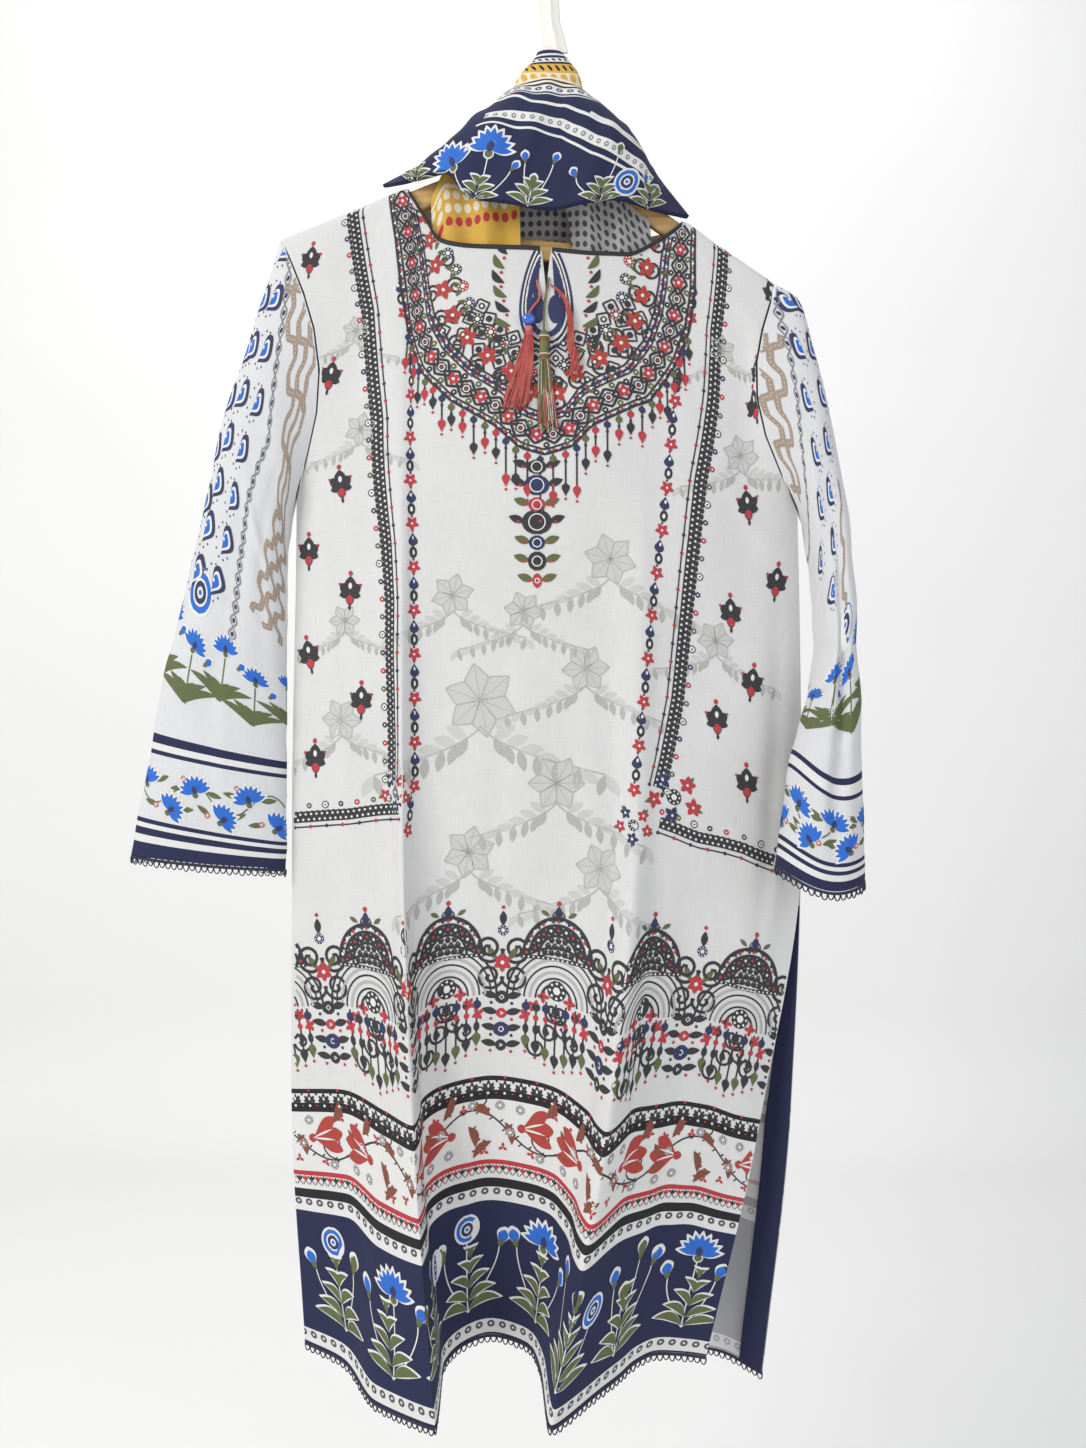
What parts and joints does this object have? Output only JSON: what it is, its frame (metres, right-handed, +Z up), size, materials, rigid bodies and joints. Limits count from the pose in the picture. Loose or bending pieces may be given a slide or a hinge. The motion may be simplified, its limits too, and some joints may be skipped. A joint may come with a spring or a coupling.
{
  "type": "lawn suit on a hanger",
  "caption": "Long printed kameez with open side slits and straight sleeves on a wooden hanger, its dupatta draped over the hanger's neck, with a tasselled neck tie.",
  "frame": {"origin": "inner top of the white hook's bend, where the suit hangs from a rail or peg", "axes": "+Z up along the hanging suit, +X to the viewer's right across the chest, -Y towards the viewer on the front's side"},
  "size_m": [0.6435, 0.144, 1.3041],
  "materials": {
    "lawn": "matte printed lawn",
    "sleeve_print": "matte printed lawn",
    "navy": "matte printed lawn",
    "lace": "matte crochet lace",
    "gold_print": "matte printed cotton",
    "grey_print": "matte printed cotton",
    "binding": "matte woven binding",
    "wood": "satin varnish",
    "steel": "plain",
    "white_plastic": "satin",
    "thread": "silky thread",
    "olive_thread": "silky thread",
    "bead_glass": "glossy glass bead"
  },
  "bodies": {
    "root": {"front": "lawn", "back": "lawn", "sleeve_left": "sleeve_print", "sleeve_right": "sleeve_print", "neck_binding_left": "binding", "neck_binding_right": "binding", "neck_binding_back": "binding", "slit_facing": "navy", "lace_hem_front": "lace", "lace_hem_back": "lace", "lace_cuff_left": "lace", "lace_cuff_right": "lace", "dupatta_hood": "navy", "dupatta_crown": "gold_print", "dupatta_fold_left": "gold_print", "dupatta_fold_right": "grey_print", "dupatta_back": "grey_print", "hanger": "wood", "hanger_stem": "steel", "hook": "white_plastic", "tie_cord_left": "thread", "tie_cord_right": "olive_thread", "tie_bead": "bead_glass", "tassel_left": "thread", "tassel_middle": "olive_thread", "tie_skein": "thread"}
  },
  "joints": []
}
